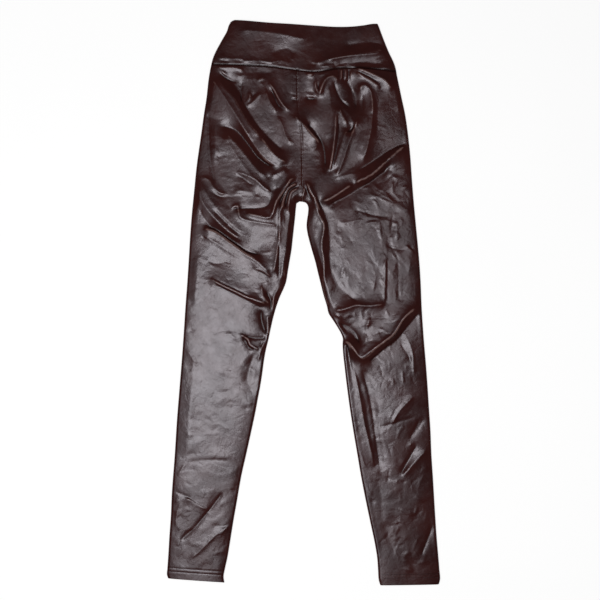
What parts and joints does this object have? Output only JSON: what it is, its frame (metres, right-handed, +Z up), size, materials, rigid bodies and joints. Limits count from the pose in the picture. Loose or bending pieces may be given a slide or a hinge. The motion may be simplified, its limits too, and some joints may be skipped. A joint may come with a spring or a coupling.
{
  "type": "leggings",
  "caption": "High-waisted full-length leggings in dark brown coated leather-look stretch cloth, laid flat with soft creases",
  "frame": {"origin": "middle of the footprint, on the surface that the leggings lie on", "axes": "+Y runs from the hems to the waist edge, +Z is up out of the surface through the face that shows, and +X is toward the wearer's left leg, which lies on the viewer's right"},
  "size_m": [0.4776, 0.988, 0.0107],
  "materials": {
    "front_panel_right_cloth": "satin",
    "front_panel_left_cloth": "satin",
    "back_panel_right_cloth": "satin",
    "back_panel_left_cloth": "satin",
    "waistband_front_cloth": "satin",
    "waistband_back_cloth": "satin"
  },
  "bodies": {
    "root": {"front_panel_right": "front_panel_right_cloth", "front_panel_left": "front_panel_left_cloth", "back_panel_right": "back_panel_right_cloth", "back_panel_left": "back_panel_left_cloth", "waistband_front": "waistband_front_cloth", "waistband_back": "waistband_back_cloth"}
  },
  "joints": []
}
